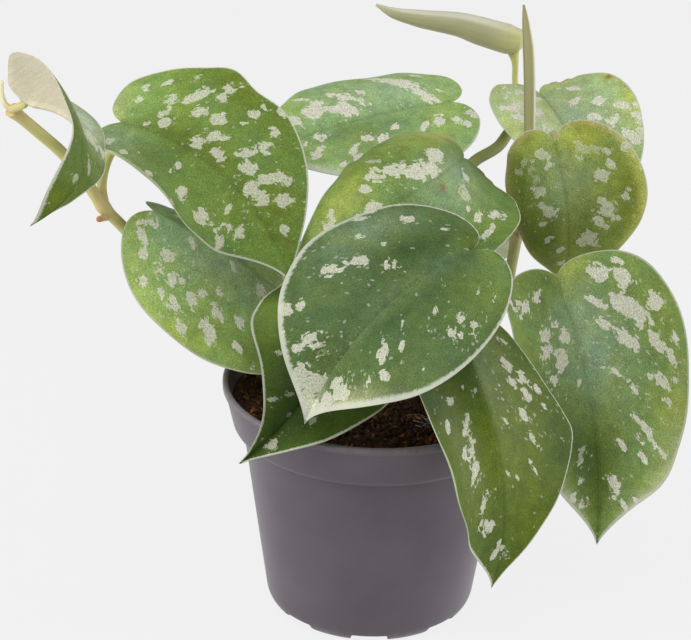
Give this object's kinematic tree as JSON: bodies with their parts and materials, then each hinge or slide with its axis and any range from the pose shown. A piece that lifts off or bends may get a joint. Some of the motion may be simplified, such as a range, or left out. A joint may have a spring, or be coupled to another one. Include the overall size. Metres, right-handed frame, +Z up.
{
  "type": "satin pothos in a nursery pot",
  "caption": "Bushy young satin pothos with silver-flecked heart-shaped leaves on short arching stems, growing in soil in a plain round nursery pot.",
  "frame": {"origin": "centre of the pot's underside, where it stands", "axes": "+Z up along the pot's axis, -Y toward the front of the plant, +X to the right seen from the front"},
  "size_m": [0.2633, 0.2288, 0.2364],
  "materials": {
    "pot_plastic": "matte taupe grey moulded polypropylene",
    "potting_mix": "loose damp dark peat with bark and fibre",
    "green_stem": "smooth yellow-green skin",
    "satin_blade": "satin mid green with silver flecks and a thin pale edge",
    "young_leaf": "satin pale olive"
  },
  "bodies": {
    "root": {"pot": "pot_plastic", "soil": "potting_mix", "vine_left": "green_stem", "vine_centre": "green_stem", "vine_right": "green_stem", "leaf_upper_left": "satin_blade", "leaf_left": "satin_blade", "leaf_lower_left": "satin_blade", "leaf_front": "satin_blade", "leaf_centre_back": "satin_blade", "leaf_top_back": "satin_blade", "leaf_back_right": "satin_blade", "leaf_round_right": "satin_blade", "leaf_right": "satin_blade", "leaf_lower_right": "satin_blade", "leaf_curled": "satin_blade", "leaf_rear_left": "satin_blade", "leaf_rear_right": "satin_blade", "leaf_rear_low": "satin_blade", "new_leaf_left": "young_leaf", "new_leaf_up": "young_leaf"}
  },
  "joints": []
}
